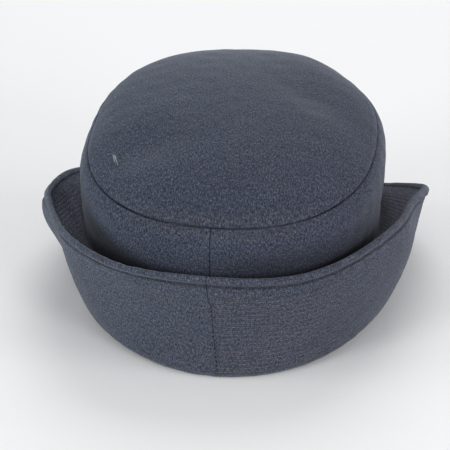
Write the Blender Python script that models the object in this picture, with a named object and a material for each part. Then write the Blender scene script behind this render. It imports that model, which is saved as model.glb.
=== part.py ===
# A women's military dress hat: a domed oval tip, a side band and a brim turned up behind and beside.
# Metres, +Z up. The front is -Y and the wearer's left is +X. The hat stands on z = 0, at rest by itself.
# A turn is an angle round the head in degrees: 0 at the back, 90 at the wearer's left, 180 in front.
import bpy
import numpy as np

# Cloth and sewing
CLOTH = 0.0022  # wall of the tip and the band
BRIM_CLOTH = 0.0024  # wall of the brim, its layers stitched together
SEWN_GAP = 0.0003  # left between two pieces that are sewn together

# Head opening, an ellipse
HEAD_WIDTH = 0.1598
HEAD_LENGTH = 0.195

# Crown: the shoulder is its widest line, and the tip seam lies a little above it
SHOULDER_FLARE = 0.0053  # the shoulder lies this far outside the opening at each side
SHOULDER_TUCK = 0.0025  # and this far inside it in front and behind
SHOULDER_LEFT = 0.001  # the crown leans this far to the left
SHOULDER_POWER = 2.34  # 2 is an ellipse, more is squarer
CROWN_HEIGHT = 0.0783  # of the shoulder over the opening, in the middle
CROWN_FRONT_SLOPE = 0.145  # the shoulder rises towards the front
CROWN_LEFT_SLOPE = 0.0102
TIP_RISE = 0.0364  # of the tip's middle over the shoulder
TIP_SEAM_SHARE = 0.947  # the seam's size as a share of the shoulder's

# Brim: it drops from the opening, rolls round and stands up, apart from the peak in front
BRIM_WIDTH = 0.0739  # along the cloth, from the opening to the rim
BEAD_WIDTH = 0.0045  # the turned edge
BEAD_THICKNESS = 0.0034
BEAD_GROOVE = 0.0004  # depth of its stitched groove, on each face

# How far the cloth flattens where it rests
SETTLE = 0.0004

COLUMNS = 80  # round the hat

# Round the brim: slopes in degrees, where 90 stands upright and 0 lies level, and shares of its width
BRIM_SECTIONS = (
    # turn, slope after the roll, slope at the rim, share that the roll takes
    (0, 96, 86, 0.275),
    (30, 92, 65, 0.217),
    (55, 65, 87, 0.196),
    (75, 74, 76, 0.267),
    (92, 48, 100, 0.289),
    (110, 39, 74, 0.32),
    (128, 29, 40, 0.328),
    (150, 10, 10, 0.326),
    (180, -6, -10, 0.32),
    (210, 6, 16, 0.346),
    (238, 31, 68, 0.359),
    (260, 53, 105, 0.31),
    (280, 63, 107, 0.268),
    (300, 76, 93, 0.239),
    (330, 88, 86, 0.274),
)

# Bends in the brim; a depth is a share of its width, and below 0 the cloth bulges away from the head
BRIM_BENDS = (
    # turn, share of the width from the opening, spread in turn, spread in width, depth
    (92, 0.86, 13, 0.20, -0.11),
    (273, 0.77, 14, 0.20, -0.02),
)

# Dents round the crown; a height is 0 at the opening, 1 at the shoulder and 2 in the tip's middle.
# Depths are shares of the tip's rise, and below 0 the cloth is puffed out.
SIDE_DENTS = (
    # turn, height, spread in turn, spread in height, depth
    (78, 0.26, 24, 0.30, 0.075),
    (94, 1.00, 14, 0.20, 0.014),
    (128, 1.02, 18, 0.18, -0.016),
    (166, 1.05, 16, 0.18, 0.03),
    (205, 1.05, 12, 0.16, -0.028),
    (227, 1.03, 14, 0.18, 0.038),
    (268, 0.95, 20, 0.25, -0.02),
)

# Dents in the tip; places and sizes are shares of the shoulder's half width and half length
TIP_DENTS = (
    # to the left, to the back, bearing of its length, length, width, depth
    (-0.42, -0.38, 140, 0.30, 0.11, 0.035),
    (-0.66, -0.02, 100, 0.24, 0.15, -0.016),
    (0.55, 0.30, 22, 0.28, 0.12, 0.019),
)
TIP_DENT_FADE = 0.15  # they fade out over this share of the tip's size, down to the shoulder

# Where the rings of each grid lie, as shares
BAND_SHARES = (0, 0.2, 0.4, 0.6, 0.8, 1)  # of the height from the opening to the shoulder
EDGE_SHARES = (0.992, 0.973)  # of the shoulder's size, under the tip seam
TIP_SHARES = (0.9, 0.82, 0.73, 0.63, 0.52, 0.4, 0.27, 0.13)  # the same, above it
BRIM_SHARES = (0, 0.06, 0.12, 0.18, 0.25, 0.33, 0.48, 0.6, 0.72, 0.85, 0.97)  # of the width to the groove
BEAD_LEANS = (-25, 0, 50)  # degrees round the bead, 90 being its edge
BRIM_STEP_COUNT = 300  # in which the brim's section is added up
REST_COUNT = 30  # of finding how the hat tips to rest
SMOOTH_ANGLE = 50  # degrees, sharper edges show

# Colour, roughness and metallic value of each piece's cloth
TIP_FINISH = ((0.062, 0.072, 0.098), 0.9, 0.0)
SIDE_FINISH = ((0.056, 0.066, 0.090), 0.9, 0.0)
BRIM_FINISH = ((0.058, 0.069, 0.088), 0.92, 0.0)


def around(table, turns):
    """Reads a table of rows, each a turn and its values, as smooth closed curves at the given turns."""
    rows = np.array(table, float)
    full_turn = np.zeros(rows.shape[1])
    full_turn[0] = 360
    rows = np.vstack([rows[-2:] - full_turn, rows, rows[:2] + full_turn])
    at, values = rows[:, 0], rows[:, 1:]
    slopes = (values[2:] - values[:-2]) / (at[2:] - at[:-2])[:, None]
    before = np.searchsorted(at, turns, side="right") - 1
    span = (at[before + 1] - at[before])[:, None]
    share = (turns - at[before])[:, None] / span
    rise = share**2 * (3 - 2 * share)
    start = share * (1 - share) ** 2 * span * slopes[before - 1]
    end = share**2 * (share - 1) * span * slopes[before]
    return values[before] * (1 - rise) + values[before + 1] * rise + start + end


def oval(turns, width, length, power):
    """Points of an oval round the origin, at the given turns; a power of 2 makes an ellipse."""
    side, back = np.sin(np.radians(turns)), np.cos(np.radians(turns))
    reach = (abs(side) ** power + abs(back) ** power) ** (-1 / power)
    return np.stack([width / 2 * side * reach, length / 2 * back * reach], -1)


def ease(share):
    """From 0 to 1, starting and ending level."""
    share = np.clip(share, 0, 1)
    return share**2 * (3 - 2 * share)


def outward(grid, steps):
    """Unit normals of a grid of rings that go round the hat, steps being the place of each ring."""
    along = np.gradient(grid, steps, axis=0)
    across = np.roll(grid, -1, axis=1) - np.roll(grid, 1, axis=1)
    normals = np.cross(along, across)
    return normals / np.linalg.norm(normals, axis=2)[..., None]


def opening(turns):
    """The outer side of the band's lower edge."""
    return oval(turns, HEAD_WIDTH + 2 * CLOTH, HEAD_LENGTH + 2 * CLOTH, 2)


def shoulder_size():
    """Half width and half length of the shoulder."""
    half_width = HEAD_WIDTH / 2 + CLOTH + SHOULDER_FLARE
    half_length = HEAD_LENGTH / 2 + CLOTH - SHOULDER_TUCK
    return np.array([half_width, half_length])


def shoulder(turns):
    """The widest line of the crown, seen from above."""
    points = oval(turns, *(2 * shoulder_size()), SHOULDER_POWER)
    return points + np.array([SHOULDER_LEFT, 0])


def crown_level(points):
    """Height of the sloping plane of the shoulder."""
    return CROWN_HEIGHT + CROWN_LEFT_SLOPE * points[..., 0] - CROWN_FRONT_SLOPE * points[..., 1]


def band_ring(turns, rise):
    """A ring of the side band's outer face; rise is 0 at the opening and 1 at the shoulder."""
    low, high = opening(turns), shoulder(turns)
    points = low + (high - low) * (1 - (1 - rise) ** 2)
    return np.column_stack([points, crown_level(high) * rise])


def dome_ring(turns, size):
    """A ring above the shoulder; size is 1 at the shoulder and 0 in the tip's middle."""
    middle = np.array([SHOULDER_LEFT, 0])
    points = middle + (shoulder(turns) - middle) * size
    over = TIP_RISE * np.sqrt(1 - size**2)
    return np.column_stack([points, crown_level(points) + over])


def bend_depth(table, turns, heights):
    """Depth of a table's round dents, for each of the heights and turns, as a share."""
    depth = np.zeros((len(heights), len(turns)))
    for turn, height, turn_spread, height_spread, share in table:
        off_turn = (turns - turn + 180) % 360 - 180
        off_height = (heights - height)[:, None]
        depth += share * np.exp(-((off_turn / turn_spread) ** 2) - (off_height / height_spread) ** 2)
    return depth


def brim_rings(turns, places):
    """Rings of the brim's middle surface; places are distances along the cloth from the opening."""
    wall, rim, roll = around(BRIM_SECTIONS, turns).T[:, :, None]
    share = (np.arange(BRIM_STEP_COUNT) + 0.5) / BRIM_STEP_COUNT
    slope = -90 + (wall + 90) * ease(share / roll)
    slope = np.radians(slope + (rim - wall) * np.clip((share - roll) / (1 - roll), 0, 1))
    step = BRIM_WIDTH / BRIM_STEP_COUNT
    start = np.zeros((len(turns), 1))
    out = np.hstack([start, np.cumsum(np.cos(slope), axis=1) * step]) - CLOTH / 2
    up = np.hstack([start, np.cumsum(np.sin(slope), axis=1) * step]) - SEWN_GAP
    marks = np.arange(BRIM_STEP_COUNT + 1) * step
    side = np.sin(np.radians(turns)) * HEAD_LENGTH
    back = np.cos(np.radians(turns)) * HEAD_WIDTH
    away = np.stack([side, back], -1) / np.hypot(side, back)[:, None]
    rings = []
    for place in places:
        reach = np.array([np.interp(place, marks, row) for row in out])
        height = np.array([np.interp(place, marks, row) for row in up])
        rings.append(np.column_stack([opening(turns) + away * reach[:, None], height]))
    rings = np.array(rings)
    depth = bend_depth(BRIM_BENDS, turns, places / BRIM_WIDTH) * BRIM_WIDTH
    return rings - outward(rings, places) * depth[..., None]


def brim_profile():
    """Places along the brim's cloth and half its thickness there, from the opening to the rim."""
    half = BRIM_CLOTH / 2
    bead = BEAD_THICKNESS / 2
    groove = BRIM_WIDTH - BEAD_WIDTH
    profile = [(groove * share, half) for share in BRIM_SHARES]
    profile.append((groove, half - BEAD_GROOVE))
    for lean in np.radians(BEAD_LEANS):
        profile.append((BRIM_WIDTH - bead + bead * np.sin(lean), bead * np.cos(lean)))
    profile.append((BRIM_WIDTH, 0))
    return np.array(profile).T


def dent_depth(points, turns, heights):
    """How far the crown's cloth is pressed in at each point of a grid of rings."""
    depth = bend_depth(SIDE_DENTS, turns, heights)
    half_width = shoulder_size()[0]
    on_tip = ease((heights - 1) / TIP_DENT_FADE)[:, None]
    for left, back, bearing, length, width, share in TIP_DENTS:
        off = points[..., :2] - shoulder_size() * (left, back)
        cos, sin = np.cos(np.radians(bearing)), np.sin(np.radians(bearing))
        along = (off @ (cos, sin)) / (length * half_width)
        beside = (off @ (-sin, cos)) / (width * half_width)
        depth += share * on_tip * np.exp(-(along**2) - beside**2)
    return depth * TIP_RISE


def crown_grids(turns):
    """Outer and inner faces of the band and of the tip, as grids of rings from the opening up."""
    half_gap = SEWN_GAP / 2 / shoulder_size()[0]
    rises = np.array(BAND_SHARES)
    edge_sizes = np.array([*EDGE_SHARES, TIP_SEAM_SHARE + half_gap])
    tip_sizes = np.array([TIP_SEAM_SHARE - half_gap, *TIP_SHARES])
    sizes = np.concatenate([edge_sizes, tip_sizes])
    smooth = [band_ring(turns, rise) for rise in rises] + [dome_ring(turns, size) for size in sizes]
    smooth = np.array(smooth)
    steps = np.cumsum(np.r_[0, np.linalg.norm(np.diff(smooth, axis=0), axis=2).mean(axis=1)])
    normals = outward(smooth, steps)
    heights = np.concatenate([rises, 2 - sizes])
    outer = smooth - normals * dent_depth(smooth, turns, heights)[..., None]
    inner = outer - normals * CLOTH
    inner[0, :, 2] = outer[0, :, 2]
    split = len(rises) + len(edge_sizes)
    return outer[:split], inner[:split], outer[split:], inner[split:]


def finish(name, finish_values):
    colour, roughness, metallic = finish_values
    material = bpy.data.materials.new(name + "_cloth")
    material.use_nodes = True
    shader = material.node_tree.nodes["Principled BSDF"]
    shader.inputs["Base Color"].default_value = (*colour, 1)
    shader.inputs["Roughness"].default_value = roughness
    shader.inputs["Metallic"].default_value = metallic
    return material


def add_piece(name, points, faces, finish_values):
    mesh = bpy.data.meshes.new(name)
    mesh.from_pydata(points.tolist(), [], faces)
    mesh.shade_smooth()
    mesh.set_sharp_from_angle(angle=np.radians(SMOOTH_ANGLE))
    mesh.materials.append(finish(name, finish_values))
    piece = bpy.data.objects.new(name, mesh)
    bpy.context.scene.collection.objects.link(piece)
    return piece


def strips(first, second):
    """Faces between two rings of point numbers, which both go round."""
    after, beyond = np.roll(first, -1), np.roll(second, -1)
    return np.stack([first, second, beyond, after], -1).tolist()


def hoop_faces(loop):
    """Faces of a closed hoop: loop is a grid of rings, and its last ring joins its first."""
    numbers = np.arange(loop.shape[0] * loop.shape[1]).reshape(loop.shape[:2])
    faces = []
    for ring in range(len(numbers)):
        faces += strips(numbers[ring - 1], numbers[ring])
    return faces


def dome_faces(outer, inner):
    """Faces of a shell between two grids of rings, closed in the middle by one point on each face."""
    count = outer.shape[0] * outer.shape[1]
    over = np.arange(count).reshape(outer.shape[:2])
    under = over + count
    faces = strips(under[0], over[0])
    for ring in range(1, len(over)):
        faces += strips(over[ring - 1], over[ring])
        faces += strips(under[ring], under[ring - 1])
    top, bottom = 2 * count, 2 * count + 1
    for first, after in zip(over[-1], np.roll(over[-1], -1)):
        faces.append([int(after), int(first), top])
    for first, after in zip(under[-1], np.roll(under[-1], -1)):
        faces.append([int(first), int(after), bottom])
    return faces


def rested(pieces):
    """The pieces' points, turned so that the peak's edge and the back of the roll both rest on z = 0."""
    pitch = 0.0
    every = np.vstack(list(pieces.values()))
    for _ in range(REST_COUNT):
        turned = pitched(every, pitch)
        front = turned[turned[:, 1] < 0]
        back = turned[turned[:, 1] > 0]
        low_front = front[front[:, 2].argmin()]
        low_back = back[back[:, 2].argmin()]
        pitch -= np.arctan2(low_back[2] - low_front[2], low_back[1] - low_front[1])
    turned = pitched(every, pitch)
    low, high = turned.min(axis=0), turned.max(axis=0)
    shift = -(low + high) / 2
    shift[2] = -low[2] - SETTLE
    placed = {}
    for name, points in pieces.items():
        points = pitched(points, pitch) + shift
        points[:, 2] = np.maximum(points[:, 2], 0)
        placed[name] = points
    return placed


def pitched(points, angle):
    """The points turned about X; a positive angle lowers the front."""
    cos, sin = np.cos(angle), np.sin(angle)
    x, y, z = points.T
    return np.column_stack([x, y * cos - z * sin, y * sin + z * cos])


def build():
    turns = np.arange(COLUMNS) * 360 / COLUMNS
    side_outer, side_inner, tip_outer, tip_inner = crown_grids(turns)
    side_loop = np.concatenate([side_outer, side_inner[::-1]])

    tip_middle = dome_ring(turns, 0).mean(axis=0)
    tip_points = np.vstack([
        tip_outer.reshape(-1, 3),
        tip_inner.reshape(-1, 3),
        tip_middle,
        tip_middle - np.array([0, 0, CLOTH]),
    ])

    places, half = brim_profile()
    middle = brim_rings(turns, places)
    face = outward(middle, places) * half[:, None, None]
    brim_loop = np.concatenate([middle + face, (middle - face)[-2::-1]])

    points = rested({
        "crown_tip": tip_points,
        "crown_side": side_loop.reshape(-1, 3),
        "brim": brim_loop.reshape(-1, 3),
    })
    add_piece("crown_tip", points["crown_tip"], dome_faces(tip_outer, tip_inner), TIP_FINISH)
    add_piece("crown_side", points["crown_side"], hoop_faces(side_loop), SIDE_FINISH)
    add_piece("brim", points["brim"], hoop_faces(brim_loop), BRIM_FINISH)


for old in list(bpy.data.objects):
    bpy.data.objects.remove(old, do_unlink=True)
build()
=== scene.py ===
import bpy
import numpy as np
from mathutils import Matrix, Vector


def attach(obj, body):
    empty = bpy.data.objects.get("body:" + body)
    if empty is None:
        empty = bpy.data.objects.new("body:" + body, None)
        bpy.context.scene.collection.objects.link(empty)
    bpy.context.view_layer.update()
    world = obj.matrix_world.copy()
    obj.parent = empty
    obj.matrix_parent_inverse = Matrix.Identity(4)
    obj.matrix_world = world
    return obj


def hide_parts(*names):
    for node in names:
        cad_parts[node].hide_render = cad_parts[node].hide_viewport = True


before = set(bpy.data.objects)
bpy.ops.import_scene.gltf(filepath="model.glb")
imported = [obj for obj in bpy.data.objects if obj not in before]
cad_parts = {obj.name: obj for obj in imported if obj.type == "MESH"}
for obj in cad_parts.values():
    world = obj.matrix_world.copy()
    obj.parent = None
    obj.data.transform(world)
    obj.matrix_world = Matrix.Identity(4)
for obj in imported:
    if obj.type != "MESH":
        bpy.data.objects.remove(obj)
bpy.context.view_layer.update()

# Cloth and sewing, as in the solids
CLOTH = 0.0022  # wall of the tip and the band
BRIM_CLOTH = 0.0024  # wall of the brim, its layers stitched together
SEWN_GAP = 0.0003  # left between two pieces that are sewn together

# Head opening, an ellipse
HEAD_WIDTH = 0.1598
HEAD_LENGTH = 0.195

# Crown: the shoulder is its widest line, and the tip seam lies a little above it
SHOULDER_FLARE = 0.0053  # how far it lies outside the opening at each side
SHOULDER_TUCK = 0.0025  # and how far inside it in front and behind
SHOULDER_LEFT = 0.001  # how far the crown leans to the left
SHOULDER_POWER = 2.34  # 2 is an ellipse, more is squarer
CROWN_HEIGHT = 0.0783  # of the shoulder over the opening, in the middle
CROWN_FRONT_SLOPE = 0.145  # the shoulder rises towards the front
CROWN_LEFT_SLOPE = 0.0102  # and a little towards the left
TIP_RISE = 0.0364  # of the tip's middle over the shoulder
TIP_SEAM_SHARE = 0.947  # the seam's size as a share of the shoulder's

# Brim: it drops from the opening, rolls round and stands up, apart from the peak in front
BRIM_WIDTH = 0.0739  # along the cloth, from the opening to the rim
BEAD_WIDTH = 0.0045  # the turned edge
BEAD_THICKNESS = 0.0034
BEAD_START = -58  # degrees round the bead, where it leaves its groove
GROOVE_PLACE = BRIM_WIDTH - BEAD_WIDTH  # of the bead's stitched groove, along the cloth
BEAD_GROOVE = 0.00045  # its depth on the outer face
INNER_GROOVE = 0.00015  # and on the inner face
GROOVE_SPREAD = 0.0009  # how far the groove reaches at each side
BEAD_SWELLS = (
    # turn, spread in turn, height
    (250, 9, 0.0010),
    (265, 12, 0.0006),
    (78, 14, 0.0002),
)
BRIM_STEP_COUNT = 300  # in which the brim's section is added up

# Rest: how far the cloth flattens, and the solid's coarser grid, on which it is worked out
SETTLE = 0.0004
REST_COUNT = 30  # of finding how the hat tips to rest
REST_COLUMNS = 80
REST_SHARES = (0, 0.06, 0.12, 0.18, 0.25, 0.33, 0.48, 0.6, 0.72, 0.85, 0.97)  # of the width to the groove
REST_LEANS = (-25, 0, 50)  # degrees round the bead

# Round the brim: slopes in degrees, where 90 stands upright and 0 lies level, and shares of its width
BRIM_SECTIONS = (
    # turn, slope after the roll, slope at the rim, share that the roll takes
    (0, 96, 86, 0.275),
    (30, 92, 65, 0.217),
    (55, 65, 87, 0.196),
    (75, 74, 76, 0.267),
    (92, 48, 100, 0.289),
    (110, 39, 74, 0.32),
    (128, 29, 40, 0.328),
    (150, 10, 10, 0.326),
    (180, -6, -10, 0.32),
    (210, 6, 16, 0.346),
    (238, 31, 68, 0.359),
    (260, 53, 105, 0.31),
    (280, 63, 107, 0.268),
    (300, 76, 93, 0.239),
    (330, 88, 86, 0.274),
)

# Bends in the brim; a depth is a share of its width, and below 0 the cloth bulges away from the head
BRIM_BENDS = (
    # turn, share of the width from the opening, spread in turn, spread in width, depth
    (92, 0.86, 13, 0.20, -0.11),
    (273, 0.77, 14, 0.20, -0.02),
)

# The same, for smaller bends that the solid leaves out
BRIM_FINE_BENDS = (
    (86, 0.86, 7, 0.13, 0.024),
    (252, 0.88, 11, 0.09, 0.007),
)
RIM_RISES = (
    # turn, spread in turn, height by which the rim is drawn up
    (243, 10, 0.0018),
    (0, 30, 0.0011),
)
RISE_START = 0.7  # share of the brim's width above which it is drawn up

# Dents round the crown; a height is 0 at the opening, 1 at the shoulder and 2 in the tip's middle.
# Depths are shares of the tip's rise, and below 0 the cloth is puffed out.
SIDE_DENTS = (
    # turn, height, spread in turn, spread in height, depth
    (78, 0.26, 24, 0.30, 0.075),
    (94, 1.00, 14, 0.20, 0.014),
    (128, 1.02, 18, 0.18, -0.016),
    (166, 1.05, 16, 0.18, 0.03),
    (205, 1.05, 12, 0.16, -0.028),
    (227, 1.03, 14, 0.18, 0.038),
    (268, 0.95, 20, 0.25, -0.02),
)

# The same, for dents that the solid leaves out
SIDE_FINE_DENTS = (
    (271, 0.66, 14, 0.09, 0.05),
    (271, 0.33, 16, 0.10, 0.07),
)

# Dents in the tip; places and sizes are shares of the shoulder's half width and half length
TIP_DENTS = (
    # to the left, to the back, bearing of its length, length, width, depth
    (-0.42, -0.38, 140, 0.30, 0.11, 0.035),
    (-0.66, -0.02, 100, 0.24, 0.15, -0.016),
    (0.55, 0.30, 22, 0.28, 0.12, 0.019),
)

# The same, over the main dents, which are less deep in the solid
TIP_FINE_DENTS = (
    (-0.49, -0.14, 142, 0.32, 0.15, 0.095),
    (0.50, 0.46, 12, 0.26, 0.16, 0.085),
)
TIP_DENT_FADE = 0.15  # share of the tip's size over which they fade out, down to the shoulder

# Rows of stitches round the brim, counted from the rim down
ROW_PITCH = 0.00254
PLAIN_BAND = 0.0066  # between the bead's groove and the first row
FIRST_ROW = GROOVE_PLACE - PLAIN_BAND
WELT = 0.0019  # from the groove to the ridge of the turned edge under the cloth
WELT_RIDGE = 0.00004
ROW_COUNT = 24
ROW_DEPTH = 0.0002  # from the crests between the rows down to the stitches
ROW_POWER = 0.8  # below 1, broad crests and narrow rows
ROWS_FAINT = 0.45  # how much of it is seen, except to the right of the back seam
ROWS_START = 2  # degrees from the seam over which the rows become clear
ROWS_END = 38  # and where they begin to fade
ROWS_FADE = 20
STITCH_PITCH = 0.0025
STITCH_LENGTH = 0.0023
STITCH_WIDTH = 0.00034
STITCH_HEIGHT = 0.00030
STITCH_TAPER = 0.82  # share of its half length where it starts to taper
STITCH_RISE = 0.2  # share of its height by which its middle lies over the cloth
STITCH_SLANT = 4  # degrees from its row
SLANT_SPREAD = 3
LENGTH_SHARES = (0.88, 1.06)  # range of the stitches' lengths

# Seams
BACK_SEAM_TURN = 0.55  # of the band's
BRIM_SEAM = (
    # share of the width from the opening, turn
    (0, -2.6),
    (0.30, -1.8),
    (0.61, -0.5),
    (0.78, 0.0),
    (0.82, 0.95),
    (0.947, 1.55),
    (1, 1.6),
)
SEAM_REACH = 12  # degrees beside it over which the columns follow it
SEAM_DEPTH = 0.0005
SEAM_WIDTH = 0.00035
SEAM_PUFF = 0.00012  # how far the cloth swells beside it
SEAM_PUFF_PLACE = 4 * SEAM_WIDTH
SEAM_PUFF_SPREAD = 2 * SEAM_WIDTH
EDGE_DIP = 0.00035  # how far the cloth turns down into the tip seam
EDGE_SPREAD = 0.0007
SEAM_FADE = 0.8  # how far the tip seam closes up where it shows least
SEAM_FADE_TURN = 25  # to the right of the back
SEAM_FADE_SPREAD = 10
ALLOWANCE = 0.0038  # from the tip seam to the ridge of the turned edges under the cloth
ALLOWANCE_RIDGE = 0.00016

# Stray fibres on the tip
LINT_FIBRES = (
    # turn, size of the ring that it lies on, bearing, length, bow
    (53.7, 0.816, 4, 0.0110, 0.0007),
    (54.6, 0.813, 10, 0.0070, -0.0005),
    (55.4, 0.808, 358, 0.0048, 0.0004),
    (102.2, 0.836, 20, 0.0022, 0.0002),
)
LINT_STEPS = 8
LINT_THICKNESS = 0.00042
LINT_LIFT = 0.0002
LINT_TAPER = 0.9  # 1 would bring its ends to a point

# Unevenness of the cloth
RIPPLE = 0.00010
RIPPLE_LENGTH = 0.013
PUCKER = 0.0004  # of the plain band at the rim
PUCKER_LENGTH = 0.0034
PUCKER_SHARE = 0.25  # of a pucker's height that its width takes
BEAD_WAVE = 0.00018  # unevenness of the bead
BEAD_WAVE_LENGTH = 0.009
BEAD_WAVE_SHARE = 0.4  # the same, for the bead's waves
WAVE_COUNT = 22

# Fineness of the meshes
BASE_COLUMNS = 720
BASE_MARKS = np.arange(BASE_COLUMNS + 1) * 360 / BASE_COLUMNS  # their turns, and the first one again
COLUMNS = 360
SEAM_COLUMNS = 10  # on each side of a back seam
SEAM_COLUMN_STEP = 0.16  # degrees
SEAM_COLUMN_ROOM = 0.3  # degrees from them to the next even column
AHEAD = 0.4  # degrees to the point that gives a row's direction
RINGS_A_ROW = 4
BEAD_RINGS = 11
BAND_RINGS = 80
SHOULDER_RINGS = 26
TIP_RINGS = 100
SHOULDER_CROWDING = 1.6  # above 1, rings are closer beside the tip seam
TIP_CROWDING = 1.25
TIP_INSIDE_STEP = 4  # rings to one on the tip's inner side

# Lengths round the hat, for the weave and the waves
BRIM_GIRTH = 0.66
CROWN_GIRTH = 0.57

# Camera, lens and place of the hat in the picture
CAMERA_AIM = Vector((-0.0032, 0.0280, 0.0641))
CAMERA_DISTANCE = 1.0
CAMERA_AZIMUTH = 186.97
CAMERA_ELEVATION = 23.40
CAMERA_ROLL = 0.242
LENS = 135.75  # mm
SENSOR_WIDTH = 36  # mm
SHIFT_X = -0.0235
SHIFT_Y = -0.0673

# Soft round lights, all aimed at the hat
LIGHTS = (
    # name, place, size, power in watts
    ("front_light", (0.0, -1.6, 1.6), 1.6, 23),
    ("top_light", (0.1, 0.2, 2.0), 1.6, 3),
    ("left_light", (2.0, 0.6, 0.9), 1.2, 11),
    ("right_light", (-2.0, 0.6, 0.9), 1.2, 14),
    ("left_rear_light", (1.4, 1.5, 0.6), 0.9, 21),
    ("right_rear_light", (-1.4, 1.5, 0.6), 0.9, 18),
)
LIGHT_AIM = Vector((0, 0, 0.06))
SKY = (0.96, 0.98, 1.0)
SKY_STRENGTH = 0.26
FLOOR_REACH = 6.0
FLOOR_DROP = 0.0002  # under the hat

# Colours, as linear red, green and blue
NAVY = (0.0365, 0.0450, 0.0672)
NAVY_DARK = (0.0085, 0.0112, 0.0185)
NAVY_SHADED_LEFT = (0.0030, 0.0050, 0.0100)  # towards the left, with painted shade in the specks there
FIBRE_BLUE = (0.100, 0.126, 0.178)
FIBRE_BROWN = (0.108, 0.094, 0.104)
TINT_LEFT = (0.95, 1.02, 1.03)
TINT_RIGHT = (1.03, 0.985, 0.99)
THREAD_LIT = (0.125, 0.122, 0.134)
THREAD_SHADED = (0.055, 0.060, 0.075)  # painted shade, away from the right of the back seam
THREAD_INNER_SHADED = (0.026, 0.027, 0.033)  # on the brim's inner face, dark as painted shade
THREAD_EDGE_SHADED = (0.016, 0.018, 0.026)  # in the groove of the bead, dark as painted shade
WORN = (0.150, 0.125, 0.088)
LINT = (0.30, 0.31, 0.30)
INSIDE_TINT_AND_LIGHT_LEFT = (1.85, 1.62, 1.64)  # of that face: paler and warmer, partly its own colour and partly painted light, stronger on the left
INSIDE_TINT_AND_LIGHT_RIGHT = (1.42, 1.28, 1.32)
CLOUD_DIM = (0.90, 0.90, 0.91)  # soft patches, from this
CLOUD_PALE = (1.08, 1.08, 1.07)  # to this
TIP_TONE_AND_SHADE = (0.91, 0.93, 0.99)  # differences between the pieces are painted light and shade: the tip and band darker, the brim paler, as each is lit
SIDE_TONE_AND_SHADE = (0.89, 0.91, 0.98)
BRIM_TONE_AND_LIGHT = (1.12, 1.12, 1.12)
FLOOR = (0.91, 0.91, 0.915)

# Yarns: waves a metre of each kind, and the noise at which a fibre starts and is full
YARN_SCALE = 1350
YARN_STRETCH = 0.34  # below 1, longer up the cloth
NAVY_YARNS = (0.41, 0.56)
GRAIN_SCALE = 1600
GRAIN_SHARE = 0.4  # of the specks; the yarns have the rest
BLUE_STRETCH = 0.5
BLUE_FIBRES = (0.53, 0.66)
BLUE_SHARE = 0.64  # how much of their colour shows
# More blue specks towards the left, painted with the darker yarns there
BLUE_MORE_LEFT = 0.28
BROWN_SCALE = 1250
SPARSE_FIBRES = (0.54, 0.66)  # the brown and the worn ones
BROWN_SHARE = 0.55
WORN_SCALE = 900
WORN_SHARE = 0.45
CLOUD_SCALE = 24
SOFT_NOISE = (0.3, 0.7)
TWILL_SCALE = 210
TWILL_TURN = 63  # degrees
TWILL_SHARE = 0.35  # of its relief, beside that of the specks
LEFT_SHADE_REACH = 0.10  # to where the left side's darker and bluer painted yarns are full
TINT_REACH = 0.09
INSIDE_LIGHT_REACH = 0.05

# Stretches round the hat, in shares of a turn from the front: middle, full up to, and end
BEHIND = (0.5, 0.15, 0.24)
REAR_HALF = (0.5, 0.27, 0.36)
RIGHT_REAR = (0.37, 0.09, 0.15)
TIP_SEAM_CLOSED = (0.5 - SEAM_FADE_TURN / 360, 0.015, 0.036)
ROWS_LEFT_END = (0.502, 0.496)  # of the clear rows: where they start and are full
ROWS_RIGHT_END = (0.34, 0.39)

# Darker places, seam marks and painted shade: how much darker, and the heights or distances where the dark
# starts and is full
SEAM_SHADE = 0.70
SEAM_LINE = (0.0001, 0.00045)  # full up to the first, none from the second
TIP_SEAM_SHADE = 0.45
TIP_SEAM_LINE = (0.0008, 0.0)
TIP_SEAM_FADE = (1.1, 0.0)  # leaves a little of the line where the seam is closed
WORN_RIDGE = (0.001, 0.0035)  # beside the ridge over the turned edges
WORN_REACH = (0.075, 0.035)  # round the crown from the back
FOLD_PAINTED_SHADE = 0.80  # painted shade, down between the band and the upright part of the brim
FOLD_HEIGHTS = (0.0640, 0.0540)  # on the band
FOLD_RISE = 3.4  # it starts higher at the left, by this times the way squared
RIGHT_PAINTED_SHADE = 0.42  # painted shade above it at the right rear
RIGHT_HEIGHTS = (0.0830, 0.0680)
FOLD_PLACES = (0.053, 0.024)  # on the brim
# Slanting ends of the painted shade on the brim, where the crown shades it
FOLD_EDGES = (
    # share of a turn from the front, drop in metres a turn, where the dark starts, where it is full
    (0.128, 0.475, 0.0560, 0.0470),
    (0.806, -0.531, 0.0470, 0.0380),
)
FOLD_EDGE_REACH = (0.032, 0.055)  # beside its turn: full up to, and end
# Painted shade in the grooves of the rows
ROW_PAINTED_SHADE = 0.60
ROW_LINE = (0.22, 0.0)  # from the row, as a share of the pitch
ROW_START_SOFT = 0.0004
ROWS_DIM = -0.20  # leaves a sixth of the dark where the rows are faint
INNER_FACE = (0.0, -0.001)  # signed distance
DITCH_PAINTED_SHADE = 0.52  # painted shade in the bead's groove
DITCH_PLACE = GROOVE_PLACE - 0.0004
DITCH_LINE = (0.0006, 0.0018)
DITCH_INSIDE = (1.4, 0.0)  # less of it on the inner face

# Thread: painted light gives it a bright stretch from the middle to the right, and it is dim elsewhere
THREAD_LIGHT_LEFT = (0.0, -0.005)
THREAD_LIGHT_RIGHT = (-0.085, -0.060)
THREAD_SCALE = 420
PLY_SCALE = 3500


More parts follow.
